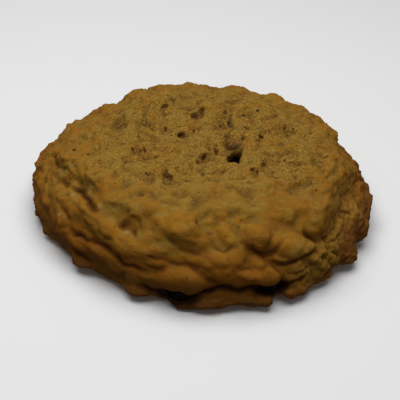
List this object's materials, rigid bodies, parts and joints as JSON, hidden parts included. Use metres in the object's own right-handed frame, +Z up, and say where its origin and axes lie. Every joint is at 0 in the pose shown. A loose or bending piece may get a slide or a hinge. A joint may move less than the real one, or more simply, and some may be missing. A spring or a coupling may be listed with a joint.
{
  "type": "oatmeal raisin cookie",
  "caption": "Thick round home-baked oatmeal cookie with a craggy golden crust, a dished top, a thin spread edge and raisins in its hollows.",
  "frame": {"origin": "middle of the cookie's bounding box, on its flat underside", "axes": "+Z up through the thickness; -Y towards the side with the two raisins at the waist; +X to the right of that side"},
  "size_m": [0.0758, 0.0758, 0.0197],
  "materials": {
    "dough": "matte baked oat dough, golden brown",
    "raisin": "dark wrinkled dried fruit, slight sheen"
  },
  "bodies": {
    "root": {"cookie": "dough", "raisin_top": "raisin", "raisin_front_left": "raisin", "raisin_front_right": "raisin"}
  },
  "joints": []
}
